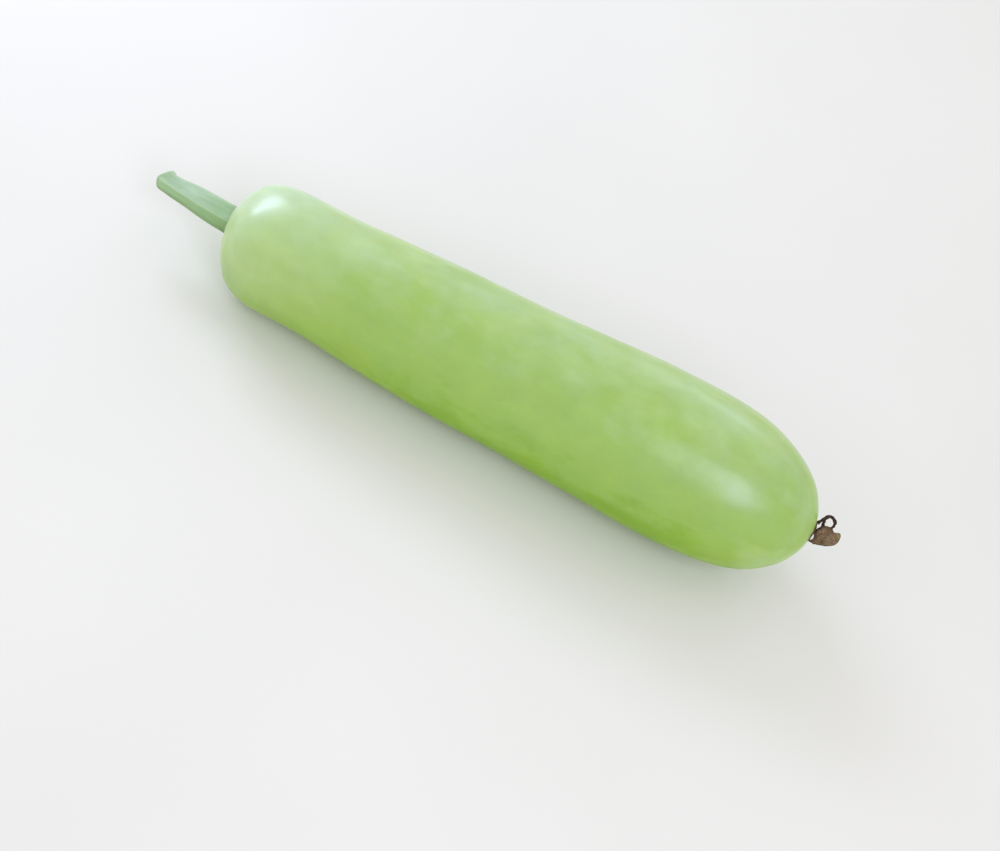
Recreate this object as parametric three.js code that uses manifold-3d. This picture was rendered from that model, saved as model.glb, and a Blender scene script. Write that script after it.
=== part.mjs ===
// Bottle gourd (Lagenaria siceraria), long smooth market type, picked and lying on its side.
//
// One fleshy fruit, the cut fruit stalk that stands in the dimple of its neck end, and the dried
// remains of the flower on the other end: the corky scar and three shrivelled petals.
//
// Millimetres, +Z up. +X runs from the stalk to the flower end. The origin lies on the surface that
// the gourd rests on, under the middle of its bounding box.
//
// Each piece is shaped in the fruit's own axes (x along the fruit, u and w across it). The whole fruit is
// then rolled about its length, pitched so that its belly lies level, and set down on the flattened
// patch of its underside.
import * as THREE from "three";
import { mergeVertices } from "three/addons/utils/BufferGeometryUtils.js";
import Module from "manifold-3d";

// ---- driving dimensions -------------------------------------------------------------------------
const ROLL_DEG = 40; // roll of the fruit's own axes about its length
const PITCH_DEG = 2.3; // rise of the axis towards the thicker flower end, with the belly level
const BELLY_CUT = 0.7; // depth of the flattened resting patch on the underside
const FRUIT_LENGTH = 331.6; // neck rim to flower end
const FRUIT_SIDES = 56; // facets round the fruit
const FRUIT_RINGS = 60; // facets along it
const NECK_SLANT = 0.097; // slope of the neck end against a square end
const TIP_SLANT = 0.008;
const STALK_OFFSET = 3.9; // the dimple and the stalk sit this far off the fruit's centre line
const STALK_SIDES = 40;
const STALK_BASE_X = 3.8; // foot of the stalk, inside the dimple
const STALK_CUT_X = -40.9; // middle of the cut end
const CUT_SLANT = [0.2, -0.42]; // how far the cut end leans, in u and in w
const CUT_CORNER = 0.25; // extra lean of its upper corner
const STALK_RISE = 0.5; // how far the stalk's upper side stands proud past its foot
const SCAR_RADIUS = 5.2;
const SCAR_OFFSET = 0.75;
const PETAL_THICK = 0.8;
const GAP = 0.35; // between pieces that meet

// Half outline of the fruit, as [x, radius], from the floor of the dimple to the flower end.
const FRUIT_OUTLINE = [
  [4.25, 0], [4.25, 3.4], [4.25, 6.2], [4.15, 7.8], [3.6, 8.4], [2.7, 8.65], [2.1, 9.1], [1.75, 9.8],
  [1.35, 11.0], [1.35, 12.8], [1.8, 14.7], [2.9, 17.2], [4.45, 20.3], [6.9, 23.8], [10.5, 27.3],
  [16.0, 30.42], [23.0, 32.29], [32.0, 32.98], [46.0, 32.98], [61.0, 33.35], [80.0, 34.65],
  [100.0, 35.9], [120.0, 36.9], [140.0, 37.68], [160.0, 38.25], [180.0, 38.95], [200.0, 40.05],
  [220.0, 41.05], [238.0, 41.65], [254.0, 41.86], [268.0, 41.55], [280.0, 40.69], [291.0, 38.93],
  [300.5, 36.2], [309.5, 32.3], [317.0, 27.4], [323.3, 21.5], [327.5, 15.3], [330.0, 9.4],
  [331.2, 4.4], [FRUIT_LENGTH, 0],
];

// The neck end as it would be with no dimple in it, as [radius, x].
const CAP_OUTLINE = [
  [0, 0], [6, 0.15], [9, 0.4], [11.6, 0.8], [12.9, 1.1], [14.7, 1.8], [17.2, 2.9], [20.3, 4.45], [23.8, 6.9],
  [27.3, 10.5],
];

// Sideways wander of the fruit's centre line, as [x, offset].
const CENTRE_WANDER = [
  [0, -1.07], [20, 0.05], [45, 0.7], [75, 0.1], [110, -0.42], [150, -0.6], [190, 0.3], [225, 0.6],
  [260, 0.35], [290, 0.1], [315, -1.1], [FRUIT_LENGTH, -1.06],
];

// Half outline of the stalk, as [x, radius], from its foot to its cut end.
const STALK_OUTLINE = [
  [STALK_BASE_X, 0], [STALK_BASE_X, 3.6], [STALK_BASE_X, 6.8], [3.3, 7.5], [1.9, 7.8], [0.2, 7.6], [-2.5, 7.3],
  [-8, 7.1], [-14, 6.75], [-19, 6.5], [-24, 6.1], [-28, 5.7], [-32, 5.3], [-36, 5.1], [-38.5, 5.25],
  [-40.0, 5.3], [-40.6, 5.1], [-40.85, 4.6], [STALK_CUT_X, 3.9], [STALK_CUT_X, 2], [STALK_CUT_X, 0],
];
// Sideways path of the stalk's middle, as [x, u].
const STALK_PATH = [
  [STALK_BASE_X, 3.4], [-2.5, 3.5], [-8, 3.65], [-14, 3.85], [-22.5, 4.3], [-28, 4.4], [-32, 4.35],
  [-36, 4.65], [-40, 5.35], [-43, 5.55],
];

// Outline of the broad dried petal in the x, u plane: two feet on the scar, two lobes at the far end.
const BROAD_PETAL = [
  [332.95, -4.7], [334.1, -4.95], [336.3, -4.45], [338.1, -3.75], [340.5, -2.9], [342.55, -2.05],
  [344.0, -1.0], [345.1, 0.4], [345.55, 1.9], [345.75, 3.2], [345.6, 4.5], [344.9, 5.5], [343.9, 5.85],
  [342.9, 5.7], [341.7, 5.05], [340.5, 4.75], [339.75, 5.15], [338.9, 5.75], [337.6, 5.85],
  [336.3, 5.75], [335.4, 5.1], [334.6, 4.05], [333.4, 2.9], [332.95, 1.9], [332.95, 0.8],
  [333.35, -0.5], [333.9, -1.7], [333.55, -3.1],
];
const PETAL_MIDDLE = [339.4, 1.2];
// Middle line of the curled petal, as [x, u, w]: out from the edge of the scar and round in a loop.
const CURLED_PETAL = [
  [333.15, 4.5, 0.2], [332.9, 5.9, 0.4], [333.4, 7.2, 0.5], [334.5, 8.6, 0.3], [335.3, 10.1, 0.1],
  [336.1, 11.0, -0.2], [337.2, 11.3, -0.5], [338.4, 10.9, -0.7], [339.4, 10.0, -0.5],
  [339.65, 8.8, -0.1], [339.45, 7.7, 0.4], [339.3, 6.9, 0.7],
];
// Middle line of the folded petal that stands between the other two.
const FOLDED_PETAL = [
  [333.7, 2.2, -1.9], [334.5, 3.4, -1.7], [335.0, 4.8, -1.4], [335.1, 6.2, -1.2], [334.8, 7.6, -1.2],
];

// ---- colours ------------------------------------------------------------------------------------
const SKIN = { color: 0xa6cb7c, roughness: 0.42, metalness: 0 };
const STALK_GREEN = { color: 0x8fb583, roughness: 0.6, metalness: 0 };
const CORK = { color: 0x5e4a36, roughness: 0.85, metalness: 0 };
const DRY_PETAL = { color: 0x6f5b48, roughness: 0.8, metalness: 0 };
const DARK_PETAL = { color: 0x35241a, roughness: 0.8, metalness: 0 };

// ---- helpers ------------------------------------------------------------------------------------
const rad = THREE.MathUtils.degToRad;

// A smooth curve through [a, b] pairs, as a function of a.
function through(pairs) {
  const p = pairs.map((q) => [...q]).sort((m, n) => m[0] - n[0]);
  const slope = (i) => {
    const lo = Math.max(i - 1, 0),
      hi = Math.min(i + 1, p.length - 1);
    return (p[hi][1] - p[lo][1]) / (p[hi][0] - p[lo][0]);
  };
  return (a) => {
    if (a <= p[0][0]) return p[0][1];
    if (a >= p[p.length - 1][0]) return p[p.length - 1][1];
    let i = 0;
    while (a > p[i + 1][0]) i++;
    const h = p[i + 1][0] - p[i][0],
      t = (a - p[i][0]) / h,
      t2 = t * t,
      t3 = t2 * t;
    return (
      (2 * t3 - 3 * t2 + 1) * p[i][1] + (t3 - 2 * t2 + t) * h * slope(i) +
      (3 * t2 - 2 * t3) * p[i + 1][1] + (t3 - t2) * h * slope(i + 1)
    );
  };
}

// A body turned about the x axis from [x, radius] points, each vertex then moved by shape(x, u, w).
function turned(outline, sides, shape) {
  const g = new THREE.LatheGeometry(outline.map(([x, r]) => new THREE.Vector2(Math.max(r, 0), x)), sides);
  g.rotateZ(-Math.PI / 2);
  return moved(g, shape);
}

function moved(g, shape) {
  g.deleteAttribute("normal");
  g.deleteAttribute("uv");
  const at = g.getAttribute("position");
  for (let i = 0; i < at.count; i++) {
    const [x, u, w] = shape(at.getX(i), at.getY(i), at.getZ(i));
    at.setXYZ(i, x, u, w);
  }
  const merged = mergeVertices(g, 1e-4);
  merged.computeVertexNormals();
  return merged;
}

// A rod of oval section along a smooth line through the given points.
function rod(points, a, b, steps) {
  const section = new THREE.Shape();
  section.absellipse(0, 0, a, b, 0, Math.PI * 2, false, 0);
  return moved(
    new THREE.ExtrudeGeometry(section, {
      curveSegments: 4,
      steps,
      bevelEnabled: false,
      extrudePath: new THREE.CatmullRomCurve3(points.map((p) => new THREE.Vector3(...p))),
    }),
    (x, u, w) => [x, u, w],
  );
}

function piece(name, geometry, look) {
  const mesh = new THREE.Mesh(geometry, new THREE.MeshStandardMaterial(look));
  mesh.name = name;
  return mesh;
}

const step01 = (a, b, t) => {
  const k = THREE.MathUtils.clamp((t - a) / (b - a), 0, 1);
  return k * k * (3 - 2 * k);
};

// ---- fruit --------------------------------------------------------------------------------------
const wander = through(CENTRE_WANDER);
const cap = through(CAP_OUTLINE);
const sideU = Math.cos(rad(ROLL_DEG)), // the level sideways direction, seen in the fruit's own axes
  sideW = -Math.sin(rad(ROLL_DEG));

function fruitShape(x, u, w) {
  const r = Math.hypot(u, w),
    a = Math.atan2(w, u);
  // Slightly oval and three-sided, with five soft lobes round the neck's shoulder.
  const swell =
    1 +
    0.009 * Math.sin(2 * a) * (0.7 + 0.3 * Math.sin(x / 55 + 0.8)) +
    0.005 * Math.sin(3 * a) * Math.sin(x / 70 + 0.4) +
    0.013 * Math.sin(5 * a) * Math.exp(-(((x - 4) / 22) ** 2)) * step01(10, 20, r);
  let U = u * swell,
    W = w * swell;
  // The neck end is a little slanted. Its dimple sits off the centre line and faces straight along x.
  let X = x - TIP_SLANT * Math.exp(-(((FRUIT_LENGTH - x) / 38) ** 2)) * U;
  let tilt = 1;
  if (x < 40) {
    U += STALK_OFFSET * (1 - step01(9, 21, r));
    tilt = step01(8.9, 11.9, r);
    X += tilt * (1 - step01(21, 24, r)) * (cap(Math.hypot(U, W)) - X);
  }
  X -= tilt * NECK_SLANT * Math.exp(-((x / 38) ** 2)) * U;
  return [X, U + sideU * wander(x), W + sideW * wander(x)];
}

const outline = new THREE.SplineCurve(FRUIT_OUTLINE.map((p) => new THREE.Vector2(...p)))
  .getPoints(FRUIT_RINGS)
  .map((p) => [p.x, p.y]);
const fruitWhole = turned(outline, FRUIT_SIDES, fruitShape);

const gourd = new THREE.Group();
gourd.rotation.order = "ZYX"; // rolled about its length first, then pitched
gourd.rotation.set(rad(ROLL_DEG), -rad(PITCH_DEG), 0);
gourd.updateMatrixWorld(true);
const lowest = new THREE.Box3().setFromBufferAttribute(
  fruitWhole.clone().applyMatrix4(gourd.matrixWorld).getAttribute("position"),
).min.z;
gourd.position.set(0, 0, -lowest - BELLY_CUT);
gourd.updateMatrixWorld(true);

// The resting patch: everything under the plane the gourd lies on is taken off.
const wasm = await Module();
wasm.setup();
function solid(geometry) {
  const g = geometry.index ? geometry.toNonIndexed() : geometry.clone();
  g.deleteAttribute("normal");
  g.deleteAttribute("uv");
  const m = mergeVertices(g, 1e-4);
  return new wasm.Manifold(
    new wasm.Mesh({
      numProp: 3,
      vertProperties: new Float32Array(m.getAttribute("position").array),
      triVerts: new Uint32Array(m.index.array),
    }),
  );
}
const below = new THREE.BoxGeometry(900, 200, 20);
below.translate(0, 0, -10);
below.applyMatrix4(gourd.matrixWorld.clone().invert());
const cut = solid(fruitWhole).subtract(solid(below)).getMesh();
const fruit = new THREE.BufferGeometry();
const corners = new Float32Array(cut.vertProperties.length);
corners.set(cut.vertProperties);
fruit.setAttribute("position", new THREE.BufferAttribute(corners, 3));
fruit.setIndex(new THREE.BufferAttribute(new Uint32Array(cut.triVerts), 1));
fruit.computeVertexNormals();
gourd.add(piece("gourd_fruit", fruit, SKIN));

// ---- stalk --------------------------------------------------------------------------------------
const stalkPath = through(STALK_PATH);
const stalk = turned([...STALK_OUTLINE].reverse(), STALK_SIDES, (x, u, w) => {
  const r = Math.hypot(u, w),
    a = Math.atan2(w, u);
  // Five rounded ridges that twist a little towards the cut end.
  const lead = rad(107) - rad(9) * step01(-20, -42, x);
  const ridge = step01(-1, 4.5, r) * (1 - 0.6 * step01(0, 3.5, x));
  const five = 1 + ridge * (0.082 * Math.cos(5 * (a - lead)) + 0.018 * Math.cos(10 * (a - lead)));
  const rise = STALK_RISE * Math.max(Math.cos(a), 0) ** 2 * step01(-2, -15, x) * step01(0, 4, r);
  const U = u * five + rise * Math.cos(a) + stalkPath(x),
    W = w * five + rise * Math.sin(a);
  // The knife went through the far end at a slant.
  const slant = step01(-34, -41, x);
  return [
    x + slant * (CUT_SLANT[0] * (U - 5.5) + CUT_CORNER * Math.max(U - 6, 0) + CUT_SLANT[1] * W),
    U,
    W + sideW * wander(0),
  ];
});
gourd.add(piece("stem", stalk, STALK_GREEN));

// ---- dried flower -------------------------------------------------------------------------------
const tipU = sideU * wander(FRUIT_LENGTH),
  tipW = sideW * wander(FRUIT_LENGTH);
const crown = (r) => (r * r) / 62; // how far the fruit's end falls away at a radius
const scarOutline = [
  [FRUIT_LENGTH + GAP, 0], [FRUIT_LENGTH + GAP - crown(2.8), 2.8], [FRUIT_LENGTH + GAP - crown(4.7), 4.7],
  [FRUIT_LENGTH + 0.15, SCAR_RADIUS], [FRUIT_LENGTH + 0.65, SCAR_RADIUS], [FRUIT_LENGTH + 0.95, 4.7],
  [FRUIT_LENGTH + 0.95, 4.0], [FRUIT_LENGTH + 0.75, 3.3], [FRUIT_LENGTH + 0.75, 1.7],
  [FRUIT_LENGTH + 0.9, 0.9], [FRUIT_LENGTH + 0.95, 0],
];
gourd.add(
  piece(
    "blossom_scar",
    turned(scarOutline, 24, (x, u, w) => {
      const a = Math.atan2(w, u),
        k = 1 + 0.03 * Math.sin(5 * a + 0.6);
      return [x, u * k + SCAR_OFFSET + tipU, w * k + tipW];
    }),
    CORK,
  ),
);

// The broad petal: a thin two-lobed scrap that arches towards +w between its feet and its lobes. It starts
// as a round disc whose corners are drawn out to the petal's outline.
const petalDisc = [
  [-0.5, 0], [-0.5, 0.35], [-0.5, 0.65], [-0.5, 0.92], [0, 1], [0.5, 0.92], [0.5, 0.65], [0.5, 0.35], [0.5, 0],
];
gourd.add(
  piece(
    "petal_broad",
    turned(petalDisc, BROAD_PETAL.length, (t, p, q) => {
      const n = BROAD_PETAL.length,
        k = (Math.round(((Math.atan2(q, p) - Math.PI / 2) / (2 * Math.PI)) * n) + n) % n,
        reach = Math.hypot(p, q),
        x = PETAL_MIDDLE[0] + reach * (BROAD_PETAL[k][0] - PETAL_MIDDLE[0]),
        u = PETAL_MIDDLE[1] + reach * (BROAD_PETAL[k][1] - PETAL_MIDDLE[1]),
        out = x - BROAD_PETAL[0][0];
      return [x, u, PETAL_THICK * t + 0.2 + 1.5 * Math.sin(0.26 * out) + 0.05 * out * Math.sin(1.1 * u + 0.4)];
    }),
    DRY_PETAL,
  ),
);
gourd.add(piece("petal_curled", rod(CURLED_PETAL, 0.7, 0.5, 26), DARK_PETAL));
gourd.add(piece("petal_folded", rod(FOLDED_PETAL, 0.75, 0.7, 12), DARK_PETAL));

const root = new THREE.Group();
root.name = "bottle_gourd";
root.add(gourd);
// The origin goes under the middle of the bounding box.
const middle = new THREE.Box3().setFromObject(root, true).getCenter(new THREE.Vector3());
root.position.set(-middle.x, -middle.y, 0);
root.updateMatrixWorld(true);

export default root;
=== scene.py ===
import bpy, math
import numpy as np
from mathutils import Matrix, Quaternion, Vector


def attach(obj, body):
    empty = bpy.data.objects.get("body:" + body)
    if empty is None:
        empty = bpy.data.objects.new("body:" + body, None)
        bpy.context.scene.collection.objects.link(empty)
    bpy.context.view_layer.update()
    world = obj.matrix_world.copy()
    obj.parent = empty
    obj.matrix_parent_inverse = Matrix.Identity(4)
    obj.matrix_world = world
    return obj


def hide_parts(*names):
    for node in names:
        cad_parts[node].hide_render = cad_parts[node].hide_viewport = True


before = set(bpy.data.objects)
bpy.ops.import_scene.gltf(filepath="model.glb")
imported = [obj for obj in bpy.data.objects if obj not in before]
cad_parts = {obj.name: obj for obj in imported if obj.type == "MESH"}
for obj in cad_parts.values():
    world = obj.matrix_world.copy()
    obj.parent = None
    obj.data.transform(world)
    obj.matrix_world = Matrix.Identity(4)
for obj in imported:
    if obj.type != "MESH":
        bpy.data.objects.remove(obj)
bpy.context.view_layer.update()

# ------------------------------------------------------------------------------------------------
# The gourd's own axes: x along the fruit from stalk to flower end, u and w across it, millimetres.
# ------------------------------------------------------------------------------------------------
ROLL, PITCH = math.radians(40), math.radians(2.3)
SHIFT = np.array([-151.01444835, -0.57051933, 31.65834885])
LENGTH = 331.6
NECK_SLANT, TIP_SLANT, STALK_OFFSET = 0.097, 0.008, 3.9
SCAR_RADIUS, SCAR_OFFSET = 5.2, 0.75

FRUIT_OUTLINE = np.array([
    (4.25, 0), (4.25, 3.4), (4.25, 6.2), (4.15, 7.8), (3.6, 8.4), (2.7, 8.65), (2.1, 9.1), (1.75, 9.8),
    (1.35, 11.0), (1.35, 12.8), (1.8, 14.7), (2.9, 17.2), (4.45, 20.3), (6.9, 23.8), (10.5, 27.3),
    (16.0, 30.42), (23.0, 32.29), (32.0, 32.98), (46.0, 32.98), (61.0, 33.35), (80.0, 34.65),
    (100.0, 35.9), (120.0, 36.9), (140.0, 37.68), (160.0, 38.25), (180.0, 38.95), (200.0, 40.05),
    (220.0, 41.05), (238.0, 41.65), (254.0, 41.86), (268.0, 41.55), (280.0, 40.69), (291.0, 38.93),
    (300.5, 36.2), (309.5, 32.3), (317.0, 27.4), (323.3, 21.5), (327.5, 15.3), (330.0, 9.4),
    (331.2, 4.4), (LENGTH, 0)], float)
# The neck end as it would be with no dimple in it, as (radius, x).
CAP_OUTLINE = [(0, 0), (6, 0.15), (9, 0.4), (11.6, 0.8), (12.9, 1.1), (14.7, 1.8), (17.2, 2.9), (20.3, 4.45),
               (23.8, 6.9), (27.3, 10.5)]
CENTRE_WANDER = [(0, -1.07), (20, 0.05), (45, 0.7), (75, 0.1), (110, -0.42), (150, -0.6), (190, 0.3),
                 (225, 0.6), (260, 0.35), (290, 0.1), (315, -1.1), (LENGTH, -1.06)]
STALK_OUTLINE = [(3.3, 7.5), (1.9, 7.8), (0.2, 7.6), (-2.5, 7.3), (-8, 7.1), (-14, 6.75), (-19, 6.5), (-24, 6.1),
                 (-28, 5.7), (-32, 5.3), (-36, 5.1), (-38.5, 5.25), (-40.0, 5.3)]
STALK_PATH = [(3.8, 3.4), (-2.5, 3.5), (-8, 3.65), (-14, 3.85), (-22.5, 4.3), (-28, 4.4), (-32, 4.35),
              (-36, 4.65), (-40, 5.35), (-43, 5.55)]
BROAD_PETAL = np.array([
    (332.05, -4.65), (333.5, -4.95), (335.3, -4.6), (337.8, -3.8), (340.2, -3.1), (342.4, -2.0),
    (344.0, -1.0), (345.05, 0.5), (345.5, 1.9), (345.65, 3.2), (345.5, 4.5), (344.85, 5.4), (343.9, 5.75),
    (342.8, 5.4), (341.5, 4.9), (340.5, 5.1), (339.75, 5.6), (338.7, 6.05), (337.5, 6.05),
    (336.2, 5.9), (335.1, 5.4), (334.4, 4.2), (333.5, 3.0), (332.4, 2.5), (332.15, 1.2),
    (332.7, -0.2), (333.25, -1.3), (333.1, -3.0)], float)
PETAL_MIDDLE = np.array([339.4, 1.2])
CURLED_PETAL = np.array([
    (332.1, 5.2, 0.0), (332.45, 6.3, 0.3), (333.2, 7.4, 0.45), (334.1, 8.7, 0.3), (334.7, 9.9, 0.1),
    (335.4, 10.8, -0.2), (336.4, 11.3, -0.5), (337.65, 11.2, -0.7), (338.9, 10.45, -0.6),
    (339.65, 9.4, -0.2), (339.7, 8.2, 0.3), (339.4, 7.0, 0.9), (338.8, 6.1, 1.3), (338.2, 5.5, 1.5)], float)
FOLDED_PETAL = np.array([
    (333.7, 2.2, -1.9), (334.4, 3.5, -1.4), (334.75, 4.9, -0.9), (334.7, 6.2, -0.55), (334.4, 7.4, -0.2),
    (334.05, 8.3, 0.05)], float)


def through(pairs):
    """A smooth curve through (a, b) pairs, as a function of a."""
    p = np.array(sorted(pairs), float)
    A, B = p[:, 0], p[:, 1]
    lo = np.maximum(np.arange(len(p)) - 1, 0)
    hi = np.minimum(np.arange(len(p)) + 1, len(p) - 1)
    S = (B[hi] - B[lo]) / (A[hi] - A[lo])

    def f(a):
        a = np.asarray(a, float)
        c = np.clip(a, A[0], A[-1])
        i = np.clip(np.searchsorted(A, c, side="right") - 1, 0, len(A) - 2)
        h = A[i + 1] - A[i]
        t = (c - A[i]) / h
        t2, t3 = t * t, t * t * t
        return ((2 * t3 - 3 * t2 + 1) * B[i] + (t3 - 2 * t2 + t) * h * S[i]
                + (3 * t2 - 2 * t3) * B[i + 1] + (t3 - t2) * h * S[i + 1])
    return f


def spline(points, q):
    """The uniform Catmull-Rom curve through the points, at q from 0 to 1."""
    P = np.asarray(points, float)
    m = len(P)
    s = np.clip(np.asarray(q, float), 0, 1) * (m - 1)
    i = np.minimum(np.floor(s).astype(int), m - 2)
    t = (s - i)[:, None]
    p0, p1 = P[np.maximum(i - 1, 0)], P[i]
    p2, p3 = P[i + 1], P[np.minimum(i + 2, m - 1)]
    v0, v1 = (p2 - p0) * 0.5, (p3 - p1) * 0.5
    return (2 * p1 - 2 * p2 + v0 + v1) * t ** 3 + (-3 * p1 + 3 * p2 - 2 * v0 - v1) * t ** 2 + v0 * t + p1


def smooth(a, b, t):
    k = np.clip((np.asarray(t, float) - a) / (b - a), 0, 1)
    return k * k * (3 - 2 * k)


def to_row(x, u, w):
    """The gourd's own axes to the row frame, still in millimetres."""
    y = u * math.cos(ROLL) - w * math.sin(ROLL)
    z = u * math.sin(ROLL) + w * math.cos(ROLL)
    X = x * math.cos(PITCH) - z * math.sin(PITCH)
    Z = x * math.sin(PITCH) + z * math.cos(PITCH)
    return np.stack([X, y, Z], -1) + SHIFT


class Waves:
    """Smooth random relief on a surface, as a sum of sine waves in three dimensions."""

    def __init__(self, size, count, seed):
        r = np.random.default_rng(seed)
        d = r.normal(size=(count, 3))
        d /= np.linalg.norm(d, axis=1)[:, None]
        self.k = d * (2 * np.pi / (size * r.uniform(0.7, 1.5, count)))[:, None]
        self.p = r.uniform(0, 2 * np.pi, count)
        self.n = math.sqrt(count / 2)

    def __call__(self, x, y, z):
        v = np.stack([x, y, z], -1)
        out = np.zeros(v.shape[:-1])
        for k, p in zip(self.k, self.p):
            out += np.sin(v @ k + p)
        return out / self.n


def mesh_object(name, verts, faces, attributes=None, material=None, replaces=None, smooth_shade=True):
    me = bpy.data.meshes.new(name)
    me.from_pydata([tuple(v) for v in np.asarray(verts, float) / 1000.0], [], faces)
    me.validate()
    if smooth_shade:
        me.polygons.foreach_set("use_smooth", [True] * len(me.polygons))
    for key, values in (attributes or {}).items():
        a = me.attributes.new(key, "FLOAT", "POINT")
        a.data.foreach_set("value", np.asarray(values, np.float32))
    me.update()
    ob = bpy.data.objects.new(name, me)
    bpy.context.scene.collection.objects.link(ob)
    for m in (material if isinstance(material, (list, tuple)) else [material]):
        if m:
            me.materials.append(m)
    if replaces:
        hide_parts(replaces)
    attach(ob, "root")
    return ob


def tube_faces(rings, sides, start_pole=None, end_pole=None, flip=False):
    """Quads between rings of vertices numbered ring by ring, with a fan to a pole at either end."""
    f = []
    for i in range(rings - 1):
        a, b = i * sides, (i + 1) * sides
        for j in range(sides):
            k = (j + 1) % sides
            f.append((a + j, a + k, b + k, b + j))
    if start_pole is not None:
        f += [(start_pole, (j + 1) % sides, j) for j in range(sides)]
    if end_pole is not None:
        b = (rings - 1) * sides
        f += [(end_pole, b + j, b + (j + 1) % sides) for j in range(sides)]
    return [tuple(reversed(q)) for q in f] if flip else f


# ------------------------------------------------------------------------------------------------
# Material helpers
# ------------------------------------------------------------------------------------------------
class Nodes:
    def __init__(self, name):
        self.mat = bpy.data.materials.new(name)
        self.mat.use_nodes = True
        self.t = self.mat.node_tree
        self.t.nodes.clear()
        self.out = self.t.nodes.new("ShaderNodeOutputMaterial")
        self.b = self.t.nodes.new("ShaderNodeBsdfPrincipled")
        self.t.links.new(self.b.outputs[0], self.out.inputs[0])
        self.tc = self.t.nodes.new("ShaderNodeTexCoord")

    def link(self, a, b):
        self.t.links.new(a, b)

    def put(self, socket, v):
        if isinstance(v, bpy.types.NodeSocket):
            self.link(v, socket)
        elif isinstance(v, (tuple, list)):
            socket.default_value = tuple(v) + ((1.0,) if len(v) == 3 and len(socket.default_value) == 4 else ())
        else:
            socket.default_value = v

    def set(self, **kw):
        for k, v in kw.items():
            self.put(self.b.inputs[k.replace("_", " ")], v)

    def attr(self, name):
        n = self.t.nodes.new("ShaderNodeAttribute")
        n.attribute_name = name
        return n.outputs["Fac"]

    def facing(self):
        return self.t.nodes.new("ShaderNodeLayerWeight").outputs["Facing"]

    def place(self, scale=(1, 1, 1), rot=(0, 0, 0), loc=(0, 0, 0), src=None):
        n = self.t.nodes.new("ShaderNodeMapping")
        n.inputs["Location"].default_value = loc
        n.inputs["Rotation"].default_value = rot
        n.inputs["Scale"].default_value = scale
        self.link(src or self.tc.outputs["Object"], n.inputs["Vector"])
        return n.outputs[0]

    def noise(self, scale, detail=2.0, rough=0.5, vec=None, distortion=0.0, out="Fac"):
        n = self.t.nodes.new("ShaderNodeTexNoise")
        n.inputs["Scale"].default_value = scale
        n.inputs["Detail"].default_value = detail
        n.inputs["Roughness"].default_value = rough
        n.inputs["Distortion"].default_value = distortion
        self.link(vec or self.tc.outputs["Object"], n.inputs["Vector"])
        return n.outputs[out]

    def voronoi(self, scale, vec=None, feature="F1", rand=1.0, out="Distance"):
        n = self.t.nodes.new("ShaderNodeTexVoronoi")
        n.feature = feature
        n.inputs["Scale"].default_value = scale
        n.inputs["Randomness"].default_value = rand
        self.link(vec or self.tc.outputs["Object"], n.inputs["Vector"])
        return n.outputs[out]

    def ramp(self, fac, stops, interp="EASE"):
        n = self.t.nodes.new("ShaderNodeValToRGB")
        n.color_ramp.interpolation = interp
        e = n.color_ramp.elements
        while len(e) > len(stops):
            e.remove(e[-1])
        while len(e) < len(stops):
            e.new(0.5)
        for el, (p, c) in zip(e, stops):
            el.position = p
            el.color = (c, c, c, 1) if isinstance(c, (int, float)) else tuple(c) + ((1,) if len(c) == 3 else ())
        self.put(n.inputs[0], fac)
        return n.outputs[0]

    def math(self, op, a, b=0.0, c=None, clamp=False):
        n = self.t.nodes.new("ShaderNodeMath")
        n.operation = op
        n.use_clamp = clamp
        self.put(n.inputs[0], a)
        self.put(n.inputs[1], b)
        if c is not None:
            self.put(n.inputs[2], c)
        return n.outputs[0]

    def mix(self, fac, a, b, mode="MIX"):
        n = self.t.nodes.new("ShaderNodeMix")
        n.data_type = "RGBA"
        n.blend_type = mode
        self.put(n.inputs[0], fac)
        self.put(n.inputs[6], a)
        self.put(n.inputs[7], b)
        return n.outputs[2]

    def scale(self, vector, by):
        n = self.t.nodes.new("ShaderNodeVectorMath")
        n.operation = "SCALE"
        self.put(n.inputs[0], vector)
        self.put(n.inputs["Scale"], by)
        return n.outputs[0]

    def bump(self, height, distance, strength=1.0, normal=None):
        n = self.t.nodes.new("ShaderNodeBump")
        n.inputs["Strength"].default_value = strength
        n.inputs["Distance"].default_value = distance
        self.put(n.inputs["Height"], height)
        if normal is not None:
            self.link(normal, n.inputs["Normal"])
        return n.outputs[0]


def lin(r, g, b):
    """sRGB 0..255 to linear."""
    return tuple((c / 255 / 12.92) if c / 255 <= 0.04045 else ((c / 255 + 0.055) / 1.055) ** 2.4 for c in (r, g, b))


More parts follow.
